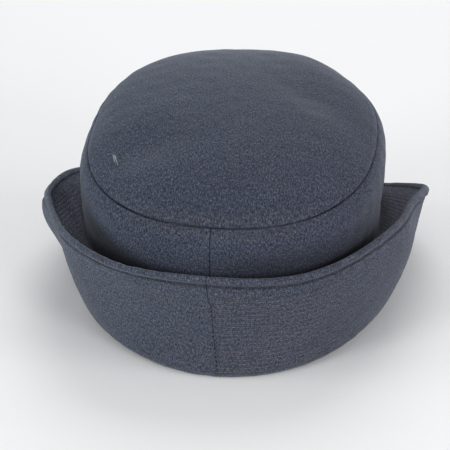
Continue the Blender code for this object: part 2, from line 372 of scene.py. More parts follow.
def around(table, turns):
    """Reads a table of rows, each a turn and its values, as smooth closed curves at the given turns."""
    rows = np.array(table, float)
    full_turn = np.zeros(rows.shape[1])
    full_turn[0] = 360
    rows = np.vstack([rows[-2:] - full_turn, rows, rows[:2] + full_turn])
    at, values = rows[:, 0], rows[:, 1:]
    slopes = (values[2:] - values[:-2]) / (at[2:] - at[:-2])[:, None]
    before = np.searchsorted(at, turns, side="right") - 1
    span = (at[before + 1] - at[before])[:, None]
    share = (turns - at[before])[:, None] / span
    rise = share**2 * (3 - 2 * share)
    start = share * (1 - share) ** 2 * span * slopes[before - 1]
    end = share**2 * (share - 1) * span * slopes[before]
    return values[before] * (1 - rise) + values[before + 1] * rise + start + end


def oval(turns, width, length, power):
    """Points of an oval round the origin, at the given turns; a power of 2 makes an ellipse."""
    back, side = cos_sin(turns)
    reach = (abs(side) ** power + abs(back) ** power) ** (-1 / power)
    return np.stack([width / 2 * side * reach, length / 2 * back * reach], -1)


def cos_sin(degrees):
    """Cosine and sine."""
    return np.cos(np.radians(degrees)), np.sin(np.radians(degrees))


def ease(share):
    """From 0 to 1, starting and ending level."""
    share = np.clip(share, 0, 1)
    return share**2 * (3 - 2 * share)


def bell(off, spread):
    """1 in the middle, and falling off smoothly beside it."""
    return np.exp(-((off / spread) ** 2))


def way_round(turns, turn=0):
    """The way from one turn to others, from -180 to 180 degrees."""
    return (turns - turn + 180) % 360 - 180


def unit(vectors):
    """The vectors, each made 1 long."""
    return vectors / np.linalg.norm(vectors, axis=-1, keepdims=True)


def outward(grid, steps):
    """Unit normals of a grid of rings that go round the hat, steps being the place of each ring."""
    along = np.gradient(grid, steps, axis=0)
    across = np.roll(grid, -1, axis=1) - np.roll(grid, 1, axis=1)
    return unit(np.cross(along, across))


def opening(turns):
    """The outer side of the band's lower edge."""
    return oval(turns, HEAD_WIDTH + 2 * CLOTH, HEAD_LENGTH + 2 * CLOTH, 2)


def shoulder_size():
    """Half width and half length of the shoulder."""
    half_width = HEAD_WIDTH / 2 + CLOTH + SHOULDER_FLARE
    half_length = HEAD_LENGTH / 2 + CLOTH - SHOULDER_TUCK
    return np.array([half_width, half_length])


def shoulder(turns):
    """The widest line of the crown, seen from above."""
    points = oval(turns, *(2 * shoulder_size()), SHOULDER_POWER)
    return points + np.array([SHOULDER_LEFT, 0])


def crown_level(points):
    """Height of the sloping plane of the shoulder."""
    return CROWN_HEIGHT + CROWN_LEFT_SLOPE * points[..., 0] - CROWN_FRONT_SLOPE * points[..., 1]


def band_ring(turns, rise):
    """A ring of the side band's outer face; rise is 0 at the opening and 1 at the shoulder."""
    low, high = opening(turns), shoulder(turns)
    points = low + (high - low) * (1 - (1 - rise) ** 2)
    return np.column_stack([points, crown_level(high) * rise])


def dome_ring(turns, size):
    """A ring above the shoulder; size is 1 at the shoulder and 0 in the tip's middle."""
    middle = np.array([SHOULDER_LEFT, 0])
    points = middle + (shoulder(turns) - middle) * size
    over = TIP_RISE * np.sqrt(1 - size**2)
    return np.column_stack([points, crown_level(points) + over])


def bend_depth(table, turns, heights):
    """Depth of a table's round dents, for each of the heights and turns, as a share."""
    depth = np.zeros((len(heights), len(turns)))
    for turn, height, turn_spread, height_spread, share in table:
        off_turn = way_round(turns, turn) / turn_spread
        off_height = (heights - height)[:, None] / height_spread
        depth += share * np.exp(-(off_turn**2) - off_height**2)
    return depth


def brim_rings(turns, places, bends):
    """Rings of the brim's middle surface; places are distances along the cloth from the opening."""
    wall, rim, roll = around(BRIM_SECTIONS, turns).T[:, :, None]
    share = (np.arange(BRIM_STEP_COUNT) + 0.5) / BRIM_STEP_COUNT
    slope = -90 + (wall + 90) * ease(share / roll)
    slope = np.radians(slope + (rim - wall) * np.clip((share - roll) / (1 - roll), 0, 1))
    step = BRIM_WIDTH / BRIM_STEP_COUNT
    start = np.zeros((len(turns), 1))
    out = np.hstack([start, np.cumsum(np.cos(slope), axis=1) * step]) - CLOTH / 2
    up = np.hstack([start, np.cumsum(np.sin(slope), axis=1) * step]) - SEWN_GAP
    marks = np.arange(BRIM_STEP_COUNT + 1) * step
    back, side = cos_sin(turns)
    away = unit(np.stack([side * HEAD_LENGTH, back * HEAD_WIDTH], -1))
    rings = []
    for place in places:
        reach = np.array([np.interp(place, marks, row) for row in out])
        height = np.array([np.interp(place, marks, row) for row in up])
        rings.append(np.column_stack([opening(turns) + away * reach[:, None], height]))
    rings = np.array(rings)
    depth = bend_depth(bends, turns, places / BRIM_WIDTH) * BRIM_WIDTH
    return rings - outward(rings, places) * depth[..., None]


def dent_depth(points, turns, heights):
    """How far the crown's cloth is pressed in at each point of a grid of rings."""
    depth = bend_depth(SIDE_DENTS + SIDE_FINE_DENTS, turns, heights)
    half_width = shoulder_size()[0]
    on_tip = ease((heights - 1) / TIP_DENT_FADE)[:, None]
    for left, back, bearing, length, width, share in TIP_DENTS + TIP_FINE_DENTS:
        off = points[..., :2] - shoulder_size() * (left, back)
        cos, sin = cos_sin(bearing)
        along = (off @ (cos, sin)) / (length * half_width)
        beside = (off @ (-sin, cos)) / (width * half_width)
        depth += share * on_tip * np.exp(-(along**2) - beside**2)
    return depth * TIP_RISE


def pitched(points, angle):
    """The points turned about X; a positive angle lowers the front."""
    cos, sin = np.cos(angle), np.sin(angle)
    x, y, z = points.T
    return np.column_stack([x, y * cos - z * sin, y * sin + z * cos])


def rest_points():
    """Points of both faces of the brim, on the solid's coarser grid."""
    turns = np.arange(REST_COLUMNS) * 360 / REST_COLUMNS
    half, bead = BRIM_CLOTH / 2, BEAD_THICKNESS / 2
    profile = [(GROOVE_PLACE * share, half) for share in (*REST_SHARES, 1)]
    for lean in np.radians(REST_LEANS):
        profile.append((BRIM_WIDTH - bead + bead * np.sin(lean), bead * np.cos(lean)))
    places, half = np.array([*profile, (BRIM_WIDTH, 0)]).T
    middle = brim_rings(turns, places, BRIM_BENDS)
    face = outward(middle, places) * half[:, None, None]
    return np.vstack([(middle + face).reshape(-1, 3), (middle - face).reshape(-1, 3)])


def rest_place():
    """The turn about X and the shift that rest the hat on the peak's edge and the back of the roll."""
    every = rest_points()
    pitch = 0.0
    for _ in range(REST_COUNT):
        turned = pitched(every, pitch)
        front = turned[turned[:, 1] < 0]
        back = turned[turned[:, 1] > 0]
        low_front = front[front[:, 2].argmin()]
        low_back = back[back[:, 2].argmin()]
        pitch -= np.arctan2(low_back[2] - low_front[2], low_back[1] - low_front[1])
    turned = pitched(every, pitch)
    low, high = turned.min(axis=0), turned.max(axis=0)
    shift = -(low + high) / 2
    shift[2] = -low[2] - SETTLE
    return pitch, shift


def waves(turns, places, length, girth, seed):
    """Smooth unevenness about 1 high, for each of the places and turns, with waves about this long."""
    random = np.random.default_rng(seed)
    angles = np.radians(turns)
    total = np.zeros(np.broadcast_shapes(turns.shape, places.shape))
    for _ in range(WAVE_COUNT):
        bearing = random.uniform(0, np.pi)
        cycles = round(girth / length * np.cos(bearing))
        along = 2 * np.pi / length * np.sin(bearing)
        total += np.cos(cycles * angles + along * places + random.uniform(0, 2 * np.pi))
    return total / np.sqrt(WAVE_COUNT)


def ripples(turns, places, girth, seed):
    """The cloth's ripples, as heights."""
    return RIPPLE * waves(turns, places, RIPPLE_LENGTH, girth, seed)


def plan_waves(points, length, seed):
    """Such unevenness for points seen from above."""
    random = np.random.default_rng(seed)
    total = np.zeros(points.shape[:2])
    for _ in range(WAVE_COUNT):
        bearing = random.uniform(0, 2 * np.pi)
        along = points[..., 0] * np.cos(bearing) + points[..., 1] * np.sin(bearing)
        total += np.cos(2 * np.pi / length * along + random.uniform(0, 2 * np.pi))
    return total / np.sqrt(WAVE_COUNT)


def tip_seam_relief(turns, from_edge):
    """Height over the smooth cloth beside the tip seam: it turns down, and swells over the turned edges."""
    kept = 1 - SEAM_FADE * bell(way_round(turns, -SEAM_FADE_TURN), SEAM_FADE_SPREAD)
    dip = EDGE_DIP * kept * bell(from_edge, EDGE_SPREAD)
    ridge = ALLOWANCE_RIDGE * bell(from_edge - ALLOWANCE, ALLOWANCE / 2)
    return ridge - dip


def columns_by_seam():
    """Turns of the columns round a piece, closer together beside its back seam, which is at 0."""
    even = np.arange(COLUMNS) * 360 / COLUMNS
    off = np.minimum(even, 360 - even)
    near = np.arange(-SEAM_COLUMNS, SEAM_COLUMNS + 1) * SEAM_COLUMN_STEP
    return np.sort(np.concatenate([even[off > near.max() + SEAM_COLUMN_ROOM], near % 360]))


def seam_relief(turns, girth):
    """Height over the smooth cloth beside a seam at turn 0."""
    off = abs(way_round(turns)) / 360 * girth
    return SEAM_PUFF * bell(off - SEAM_PUFF_PLACE, SEAM_PUFF_SPREAD) - SEAM_DEPTH * bell(off, SEAM_WIDTH)


def read_rings(grid, turns):
    """Points of each ring of an evenly spaced grid at other turns, a row of turns for each ring."""
    read = np.empty((*turns.shape, 3))
    for ring, (row, at) in enumerate(zip(grid, turns % 360)):
        closed = np.vstack([row, row[:1]])
        for axis in range(3):
            read[ring, :, axis] = np.interp(at, BASE_MARKS, closed[:, axis])
    return read


def new_material(name):
    """A material, with its nodes and its shader."""
    material = bpy.data.materials.new(name)
    material.use_nodes = True
    return material, material.node_tree, material.node_tree.nodes["Principled BSDF"]


def set_values(node, values):
    """Sets plain values of a node's inputs."""
    for key, value in values.items():
        node.inputs[key].default_value = value


def place_object(name, data):
    """A new object in the scene."""
    made = bpy.data.objects.new(name, data)
    bpy.context.scene.collection.objects.link(made)
    return made


def add_object(name, points, faces, uv_maps, material):
    """A smooth mesh object whose points are already at rest; uv_maps holds a place for each face corner."""
    mesh = bpy.data.meshes.new(name)
    mesh.from_pydata(points.tolist(), [], faces)
    mesh.shade_smooth()
    for map_name, corners in uv_maps.items():
        layer = mesh.uv_layers.new(name=map_name)
        layer.data.foreach_set("uv", np.ascontiguousarray(corners, np.float32).ravel())
    mesh.materials.append(material)
    return place_object(name, mesh)


def point_numbers(grid, start=0):
    """Numbers of a grid's points."""
    return start + np.arange(grid[..., 0].size).reshape(grid.shape[:2])


def strips(first, second):
    """Four-sided faces between rings of point numbers and the rings beside them."""
    corners = [first, second, np.roll(second, -1, axis=1), np.roll(first, -1, axis=1)]
    return np.stack(corners, -1).reshape(-1, 4)


def hoop(loop, turns, girth, along, distance):
    """Faces of a closed hoop of rings, and its maps from each ring's way along the weave and distance."""
    closed = np.append(turns, 360) / 360
    across = np.broadcast_to(closed * girth, (len(loop), len(closed)))
    weave = np.stack([across, np.broadcast_to(along, across.shape)], -1)
    place = np.stack([across / girth, np.broadcast_to(distance, across.shape)], -1)
    numbers = point_numbers(loop)
    faces = strips(np.roll(numbers, 1, axis=0), numbers)
    maps = {}
    for name, values in (("weave", weave), ("place", place)):
        last = np.roll(values, 1, axis=0)
        maps[name] = np.stack([last[:, :-1], values[:, :-1], values[:, 1:], last[:, 1:]], 2).reshape(-1, 2)
    return faces.tolist(), maps


def dome(outer, inner):
    """Faces of a shell between two grids of rings, closed by two points in the middle, and their corners."""
    over = point_numbers(outer)
    under = point_numbers(inner, over.size)
    top = np.full(outer.shape[1], over.size + under.size)
    ring_over, ring_under = over[-1], under[-1]
    quads = [strips(under[:1], over[:1]), strips(over[:-1], over[1:]), strips(under[1:], under[:-1])]
    quads = np.concatenate(quads)
    fans = np.concatenate([
        np.stack([np.roll(ring_over, -1), ring_over, top], -1),
        np.stack([ring_under, np.roll(ring_under, -1), top + 1], -1),
    ])
    return quads.tolist() + fans.tolist(), np.concatenate([quads.ravel(), fans.ravel()])


def smooth_crown(turns, rises, sizes):
    """Outer face of the crown's cloth, its normals, and the way up the cloth to each ring."""
    smooth = np.array([band_ring(turns, rise) for rise in rises] + [dome_ring(turns, size) for size in sizes])
    steps = np.cumsum(np.r_[0, np.linalg.norm(np.diff(smooth, axis=0), axis=2).mean(axis=1)])
    normals = outward(smooth, steps)
    heights = np.concatenate([rises, 2 - sizes])
    return smooth - normals * dent_depth(smooth, turns, heights)[..., None], normals, steps


def brim_places():
    """Places of the brim's rings and half its thickness there, from the opening to the rim."""
    step = ROW_PITCH / RINGS_A_ROW
    down = np.arange(FIRST_ROW, step, -step)[::-1]
    up = np.arange(FIRST_ROW + step, GROOVE_PLACE - step, step)
    flat = np.concatenate([[0], down, up, [GROOVE_PLACE - step / 2]])
    half = BRIM_CLOTH / 2 - BEAD_GROOVE * bell(GROOVE_PLACE - flat, GROOVE_SPREAD)
    leans = np.radians(np.linspace(BEAD_START, 90, BEAD_RINGS))
    bead_places = BRIM_WIDTH + BEAD_WIDTH / 2 * (np.sin(leans) - 1)
    bead_half = BEAD_THICKNESS / 2 * np.cos(leans)
    places = np.concatenate([flat, [GROOVE_PLACE], bead_places])
    return places, np.concatenate([half, [BRIM_CLOTH / 2 - BEAD_GROOVE], bead_half])


def row_relief(places):
    """Height of the cloth between the rows of stitches over the cloth under them."""
    off = (FIRST_ROW - places) / ROW_PITCH
    crest = abs(np.sin(np.pi * off)) ** ROW_POWER
    return np.where((off > 0) & (off < ROW_COUNT), ROW_DEPTH * (crest - 1), 0)


def rows_show(turns):
    """How strongly the rows show on the outer face: most between the back seam and the right side."""
    to_right = (-turns) % 360
    on_right = ease(to_right / ROWS_START) * (1 - ease((to_right - ROWS_END) / ROWS_FADE))
    return ROWS_FAINT + (1 - ROWS_FAINT) * on_right


def welt_relief(places):
    """Height of the ridge that the turned edge makes under the cloth beside the bead."""
    return WELT_RIDGE * bell(GROOVE_PLACE - places - WELT, WELT / 2)


def pucker_relief(turns, places):
    """Small upright puckers in the plain band beside the bead."""
    window = np.sin(np.pi * np.clip((GROOVE_PLACE - places) / PLAIN_BAND, 0, 1))
    return PUCKER * window * waves(turns, places * PUCKER_SHARE, PUCKER_LENGTH, BRIM_GIRTH, seed=5)


def stitch_mesh(name, centres, directions, normals, material, seed):
    """Stitches as long grains in one object; each lies along its direction on the cloth."""
    random = np.random.default_rng(seed)
    count = len(centres)
    slant = np.radians(random.normal(STITCH_SLANT, SLANT_SPREAD, count))[:, None]
    side = np.cross(normals, directions)
    lengthwise = directions * np.cos(slant) + side * np.sin(slant)
    side = np.cross(normals, lengthwise)
    half = STITCH_LENGTH / 2 * random.uniform(*LENGTH_SHARES, count)[:, None]
    wide, high = side * STITCH_WIDTH / 2, normals * STITCH_HEIGHT / 2
    points = [centres - lengthwise * half - high]
    for share in (-STITCH_TAPER, STITCH_TAPER):
        middle = centres + lengthwise * half * share
        points += [middle + wide, middle + high, middle - wide, middle - high]
    points.append(centres + lengthwise * half - high)
    points = np.stack(points, 1).reshape(-1, 3)
    tips, sides = [], []
    for corner in range(4):
        after = (corner + 1) % 4
        tips.append((0, 1 + after, 1 + corner))
        tips.append((9, 5 + corner, 5 + after))
        sides.append((1 + corner, 1 + after, 5 + after, 5 + corner))
    base = (np.arange(count) * 10)[:, None, None]  # a stitch has ten points
    faces = (base + np.array(tips)).reshape(-1, 3).tolist() + (base + np.array(sides)).reshape(-1, 4).tolist()
    return add_object(name, points, faces, {}, material)


def shader_node(kind, inputs, **settings):
    """Adds a node; an input is a plain value, or the socket of another node that it is linked from."""
    sockets = {key: value for key, value in inputs.items() if isinstance(value, bpy.types.NodeSocket)}
    tree = next(iter(sockets.values())).id_data
    made = tree.nodes.new(kind)
    for key, value in settings.items():
        setattr(made, key, value)
    for key, value in inputs.items():
        if key in sockets:
            tree.links.new(value, made.inputs[key])
        else:
            made.inputs[key].default_value = value
    return made


def split(vector):
    """The values of a vector, by axis."""
    return shader_node("ShaderNodeSeparateXYZ", {"Vector": vector}).outputs


def ramp(value, low, high):
    """From 0 at the low value to 1 at the high one, which may also be the smaller of the two."""
    made = shader_node("ShaderNodeMapRange", {"Value": value, "From Min": low, "From Max": high})
    made.clamp = True
    return made.outputs["Result"]


def combine(operation, first, second=0.0):
    """The result of an operation on two values, or on the first one alone."""
    return shader_node("ShaderNodeMath", {0: first, 1: second}, operation=operation).outputs[0]


def times(product, *factors):
    """The product of the values."""
    for factor in factors:
        product = combine("MULTIPLY", product, factor)
    return product


def mix(factor, first, second, blend="MIX"):
    """Mixes two colours."""
    first, second = [(*part, 1) if isinstance(part, tuple) else part for part in (first, second)]
    made = shader_node("ShaderNodeMix", {0: factor, 6: first, 7: second}, data_type="RGBA", blend_type=blend)
    return made.outputs[2]


def tinted(colour, tint):
    """The colour times the tint."""
    return mix(1.0, colour, tint, "MULTIPLY")


def darkened(colour, mask, depth):
    """The colour, darker by up to the depth where the mask is 1."""
    return tinted(colour, mix(mask, (1, 1, 1), (1 - depth,) * 3))


def noise(vector, scale, detail=2.0, roughness=0.6):
    """Smooth noise from 0 to 1, with this many waves a metre."""
    inputs = {"Vector": vector, "Scale": scale, "Detail": detail, "Roughness": roughness}
    return shader_node("ShaderNodeTexNoise", inputs).outputs["Fac"]


def moved(vector, scale=(1, 1, 1), place=(0, 0, 0), turn=0.0):
    """The vector scaled, turned by degrees and shifted."""
    inputs = {"Vector": vector, "Scale": scale, "Location": place, "Rotation": (0, 0, np.radians(turn))}
    return shader_node("ShaderNodeMapping", inputs).outputs["Vector"]


def band_mask(value, middle, inner, outer):
    """1 where the value lies within the inner distance of the middle, fading to 0 at the outer one."""
    off = combine("ABSOLUTE", combine("SUBTRACT", value, middle))
    return ramp(off, outer, inner)


def link_cloth(tree, shader, colour, height, strength, distance):
    """Gives a shader its colour, and relief that is only seen in the shading."""
    bump = shader_node("ShaderNodeBump", {"Height": height, "Strength": strength, "Distance": distance})
    tree.links.new(bump.outputs["Normal"], shader.inputs["Normal"])
    tree.links.new(colour, shader.inputs["Base Color"])


def uv_place(tree, name):
    """A map of the piece's corner places."""
    made = tree.nodes.new("ShaderNodeUVMap")
    made.uv_map = name
    return made.outputs["UV"]


def cloth_places(tree):
    """Where a point of the cloth lies; signed is its distance, below 0 on the brim's inner face."""
    body = tree.nodes.new("ShaderNodeTexCoord").outputs["Object"]
    turn, signed = split(uv_place(tree, "place"))[:2]
    return {
        "body": body,
        "weave": uv_place(tree, "weave"),
        "to_left": split(body)["X"],
        "turn": turn,
        "from_front": combine("FRACT", combine("ADD", turn, 0.5)),
        "signed": signed,
        "distance": combine("ABSOLUTE", signed),
    }


def yarns(at):
    """The heathered yarns, and the specks that also give the cloth its relief."""
    body, weave = at["body"], at["weave"]
    threads = noise(moved(weave, (1, YARN_STRETCH, 1)), YARN_SCALE)
    grain = noise(moved(body, place=(0.3, 0.1, 0.2)), GRAIN_SCALE, detail=1.5)
    specks = combine("ADD", times(threads, 1 - GRAIN_SHARE), times(grain, GRAIN_SHARE))
    # Towards the left the specks are deeper and bluer: painted shade, standing in for the relief shading that
    # the side light and sheen flatten there
    leftness = ramp(at["to_left"], 0.0, LEFT_SHADE_REACH)
    dark = mix(leftness, NAVY_DARK, NAVY_SHADED_LEFT)
    colour = mix(ramp(specks, *NAVY_YARNS), dark, NAVY)

    blue = moved(weave, (1, BLUE_STRETCH, 1), place=(0.07, 0.02, 0))
    blue = noise(blue, YARN_SCALE, detail=1.5, roughness=0.5)
    share = combine("ADD", times(leftness, BLUE_MORE_LEFT), BLUE_SHARE)
    colour = mix(times(ramp(blue, *BLUE_FIBRES), share), colour, FIBRE_BLUE)
    brown = noise(moved(body, place=(0.5, 0.9, 0.1)), BROWN_SCALE, detail=1.5, roughness=0.5)
    return mix(times(ramp(brown, *SPARSE_FIBRES), BROWN_SHARE), colour, FIBRE_BROWN), specks


def back_seam_mark(at, colour, turn, girth):
    """The dark line of a back seam."""
    line = [distance / girth for distance in SEAM_LINE]
    return darkened(colour, band_mask(at["from_front"], 0.5 + turn / 360, *line), SEAM_SHADE)


def tip_marks(at, colour):
    """The dark line of the tip seam, and worn fibres over the turned edges beside it."""
    closed = band_mask(at["from_front"], *TIP_SEAM_CLOSED)
    line = times(ramp(at["distance"], *TIP_SEAM_LINE), ramp(closed, *TIP_SEAM_FADE))
    colour = darkened(colour, line, TIP_SEAM_SHADE)
    fibres = noise(moved(at["body"], place=(0.2, 0.4, 0.7)), WORN_SCALE)
    on_ridge = band_mask(at["distance"], ALLOWANCE, *WORN_RIDGE)
    from_back = times(combine("PINGPONG", at["turn"], 0.5), CROWN_GIRTH)
    worn = times(ramp(fibres, *SPARSE_FIBRES), on_ridge, ramp(from_back, *WORN_REACH))
    return mix(times(worn, WORN_SHARE), colour, WORN)


def side_marks_and_shade(at, colour):
    """The band's back seam, painted shade down behind the brim and at the right rear, and what the tip seam
    shows.
    """
    colour = back_seam_mark(at, colour, BACK_SEAM_TURN, CROWN_GIRTH)
    leftwards = combine("MAXIMUM", at["to_left"], 0.0)
    rise = times(leftwards, leftwards, FOLD_RISE)
    height = combine("SUBTRACT", split(at["weave"])["Y"], rise)
    # Painted shade on the band: down behind the brim, starting higher to the left, and above it at the right
    # rear
    for heights, stretch, shade in (
        (FOLD_HEIGHTS, BEHIND, FOLD_PAINTED_SHADE), (RIGHT_HEIGHTS, RIGHT_REAR, RIGHT_PAINTED_SHADE),
    ):
        low = times(ramp(height, *heights), band_mask(at["from_front"], *stretch))
        colour = darkened(colour, low, shade)
    return tip_marks(at, colour)


def row_painted_shade(at, colour, inside):
    """Painted shade in the grooves of the stitched rows, strongest right of the back seam and on the inner
    face.
    """
    off = times(combine("SUBTRACT", at["distance"], FIRST_ROW), 1 / ROW_PITCH)
    painted_grooves = ramp(combine("PINGPONG", off, 0.5), *ROW_LINE)
    painted_grooves = times(painted_grooves, ramp(at["distance"], FIRST_ROW + ROW_START_SOFT, FIRST_ROW))
    clear = times(ramp(at["from_front"], *ROWS_LEFT_END), ramp(at["from_front"], *ROWS_RIGHT_END))
    clear = combine("MAXIMUM", inside, clear)
    return darkened(colour, times(painted_grooves, ramp(clear, ROWS_DIM, 1.0)), ROW_PAINTED_SHADE)


def fold_painted_shade(at, colour, inside):
    """Painted shade on the brim's inner face down beside the band, with its two slanting ends."""
    from_front, distance = at["from_front"], at["distance"]
    painted_fold = times(ramp(distance, *FOLD_PLACES), band_mask(from_front, *REAR_HALF))
    for middle, slope, start, full in FOLD_EDGES:
        aslant = times(combine("SUBTRACT", from_front, middle), slope)
        aslant = combine("ADD", distance, aslant)
        near = band_mask(from_front, middle, *FOLD_EDGE_REACH)
        painted_fold = combine("MAXIMUM", painted_fold, times(near, ramp(aslant, start, full)))
    return darkened(colour, times(inside, painted_fold), FOLD_PAINTED_SHADE)


def brim_marks_light_and_shade(at, colour):
    """The brim's back seam; painted shade in rows, bead's groove and by the band; paler inner face, partly
    painted light.
    """
    colour = back_seam_mark(at, colour, 0, BRIM_GIRTH)
    inside = ramp(at["signed"], *INNER_FACE)
    colour = row_painted_shade(at, colour, inside)
    # The inner face paler and warmer: partly its own colour, partly painted light, which is stronger on the
    # left where light reaches into the loop
    leftness = ramp(at["to_left"], -INSIDE_LIGHT_REACH, INSIDE_LIGHT_REACH)
    inner = tinted(colour, mix(leftness, INSIDE_TINT_AND_LIGHT_RIGHT, INSIDE_TINT_AND_LIGHT_LEFT))
    colour = mix(inside, colour, inner)
    colour = fold_painted_shade(at, colour, inside)
    # Painted shade in the bead's stitched groove, less of it on the inner face
    painted_ditch = band_mask(at["distance"], DITCH_PLACE, *DITCH_LINE)
    painted_ditch = times(painted_ditch, ramp(inside, *DITCH_INSIDE))
    return darkened(colour, painted_ditch, DITCH_PAINTED_SHADE)


def heather(name, tone_and_light, add_marks):
    """Heathered wool-blend cloth with a fine twill weave; add_marks colours a piece's seams, marks and
    painted light and shade.
    """
    material, tree, shader = new_material(name)
    at = cloth_places(tree)
    colour, specks = yarns(at)
    leftness = ramp(at["to_left"], -TINT_REACH, TINT_REACH)
    colour = tinted(colour, mix(leftness, TINT_RIGHT, TINT_LEFT))
    # Painted light and shade for the piece as a whole
    colour = tinted(colour, tone_and_light)
    cloud = ramp(noise(at["body"], CLOUD_SCALE, detail=3.0, roughness=0.55), *SOFT_NOISE)
    colour = tinted(colour, mix(cloud, CLOUD_DIM, CLOUD_PALE))
    colour = add_marks(at, colour)

    twill = shader_node("ShaderNodeTexWave", {
        "Vector": moved(at["weave"], turn=TWILL_TURN), "Scale": TWILL_SCALE, "Distortion": 0.6, "Detail": 1.0,
    })
    height = combine("ADD", times(twill.outputs["Fac"], TWILL_SHARE), specks)
    link_cloth(tree, shader, colour, height, strength=0.40, distance=0.00035)
    rough = ramp(specks, *SOFT_NOISE)
    rough = shader_node("ShaderNodeMapRange", {"Value": rough, "To Min": 0.86, "To Max": 0.98})
    tree.links.new(rough.outputs["Result"], shader.inputs["Roughness"])
    set_values(shader, {
        "Specular IOR Level": 0.25,
        "Sheen Weight": 0.28, "Sheen Roughness": 0.45, "Sheen Tint": (0.62, 0.68, 0.78, 1),
    })
    return material


def thread(name, bright, dim, contrast=0.35):
    """Sewing thread, each bit of it a little paler or darker, and with painted light that makes it bright on
    the right.
    """
    material, tree, shader = new_material(name)
    body = tree.nodes.new("ShaderNodeTexCoord").outputs["Object"]
    change = ramp(noise(body, THREAD_SCALE), *SOFT_NOISE)
    to_left = split(body)["X"]
    # Painted light on the thread, from the middle to the right
    right = times(ramp(to_left, *THREAD_LIGHT_LEFT), ramp(to_left, *THREAD_LIGHT_RIGHT))
    strength = mix(change, (1 - contrast,) * 3, (1 + contrast,) * 3)
    colour = tinted(mix(right, dim, bright), strength)
    ply = noise(body, PLY_SCALE, detail=1.0, roughness=0.5)
    link_cloth(tree, shader, colour, ply, strength=0.4, distance=0.0001)
    set_values(shader, {"Roughness": 0.7, "Sheen Weight": 0.15})
    return material


def build_brim(placed, turns, places, half, middle, normals):
    """The brim with its rows, its bead and its back seam."""
    seam = np.interp(places / BRIM_WIDTH, *np.array(BRIM_SEAM).T)[:, None]
    at = turns + seam * bell(way_round(turns), SEAM_REACH)
    points = read_rings(middle, at)
    out = unit(read_rings(normals, at))
    rising, thin = places[:, None], half[:, None]
    seam = seam_relief(turns, BRIM_GIRTH)
    relief = welt_relief(rising) + seam * ease(rising / ROW_PITCH)
    on_wall = ease((BRIM_WIDTH - rising) / BEAD_WIDTH)
    rows = row_relief(rising)
    outer_relief = relief + ripples(turns, rising, BRIM_GIRTH, seed=3) * on_wall
    outer_relief = outer_relief + (rows + pucker_relief(turns, rising)) * rows_show(turns)
    inner_relief = relief + rows + ripples(turns, rising, BRIM_GIRTH, seed=4) * on_wall
    inner_relief = inner_relief + (BEAD_GROOVE - INNER_GROOVE) * bell(GROOVE_PLACE - rising, GROOVE_SPREAD)
    uneven = BEAD_WAVE * waves(turns, rising * BEAD_WAVE_SHARE, BEAD_WAVE_LENGTH, BRIM_GIRTH, seed=8)
    for turn, spread, height in BEAD_SWELLS:
        uneven = uneven + height * bell(way_round(turns, turn), spread)
    on_bead = (seam + uneven) * thin / half.max()
    bead = rising > GROOVE_PLACE
    outer_relief = np.where(bead, on_bead, outer_relief)
    inner_relief = np.where(bead, on_bead, inner_relief)
    outer = points + out * (thin + outer_relief)[..., None]
    inner = points - out * (thin + inner_relief)[..., None]
    outer[-1] = inner[-1] = points[-1]
    loop = np.concatenate([outer, inner[-2::-1]])

    along = np.concatenate([places, places[-2::-1]])[:, None]
    side = np.where(np.arange(len(loop)) < len(places), 1, -1)[:, None]
    faces, maps = hoop(loop, turns, BRIM_GIRTH, along, along * side)
    cloth = heather("brim_heather", BRIM_TONE_AND_LIGHT, brim_marks_light_and_shade)
    brim = add_object("brim_cloth", placed(loop.reshape(-1, 3)), faces, maps, cloth)
    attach(brim, "root")
    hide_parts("brim")


def build_rows(placed, turned, places, half, middle, normals):
    """The stitches of the brim's rows, on both faces."""
    random = np.random.default_rng(seed=11)
    for name, face, first_row, row_count, depth, bright, dim in (
        ("outer_rows", 1, FIRST_ROW, ROW_COUNT, ROW_DEPTH, THREAD_LIT, THREAD_SHADED),
        ("inner_rows", -1, FIRST_ROW, ROW_COUNT, ROW_DEPTH, THREAD_INNER_SHADED, THREAD_INNER_SHADED),
        ("edge_row", 1, GROOVE_PLACE, 1, 0, THREAD_EDGE_SHADED, THREAD_EDGE_SHADED),
    ):
        centres, directions, ups = [], [], []
        for row in range(row_count):
            ring = np.argmin(abs(places - (first_row - row * ROW_PITCH)))
            line = middle[ring] + normals[ring] * face * (half[ring] - depth + STITCH_HEIGHT * STITCH_RISE)
            closed = np.vstack([line, line[:1]])
            length = np.r_[0, np.cumsum(np.linalg.norm(np.diff(closed, axis=0), axis=1))]
            count = int(length[-1] / STITCH_PITCH)
            at = (np.arange(count) + random.uniform()) * length[-1] / count
            turns = np.interp(at, length, BASE_MARKS)[None, :]
            centre = read_rings(line[None], turns)[0]
            ahead = read_rings(line[None], turns + AHEAD)[0] - centre
            up = read_rings(normals[ring][None], turns)[0] * face
            centres.append(centre)
            directions.append(unit(ahead))
            ups.append(unit(up))
        rows = stitch_mesh(
            name, placed(np.vstack(centres)), turned(np.vstack(directions)), turned(np.vstack(ups)),
            thread(name + "_thread", bright, dim), seed=20 + face,
        )
        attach(rows, "root")


def crown_places():
    """Rises up the band, and sizes from the shoulder to the tip seam and from there to the middle."""
    half_gap = SEWN_GAP / 2 / shoulder_size()[0]
    rises = np.linspace(0, 1, BAND_RINGS)
    edge = np.arccos(TIP_SEAM_SHARE + half_gap)
    edge_shares = 1 - (1 - np.linspace(0, 1, SHOULDER_RINGS)[1:]) ** SHOULDER_CROWDING
    band_sizes = np.cos(edge * edge_shares)
    start = np.arccos(TIP_SEAM_SHARE - half_gap)
    tip_shares = np.linspace(0, 1, TIP_RINGS + 1)[:-1] ** TIP_CROWDING
    tip_sizes = np.cos(start + (np.pi / 2 - start) * tip_shares)
    return rises, band_sizes, tip_sizes


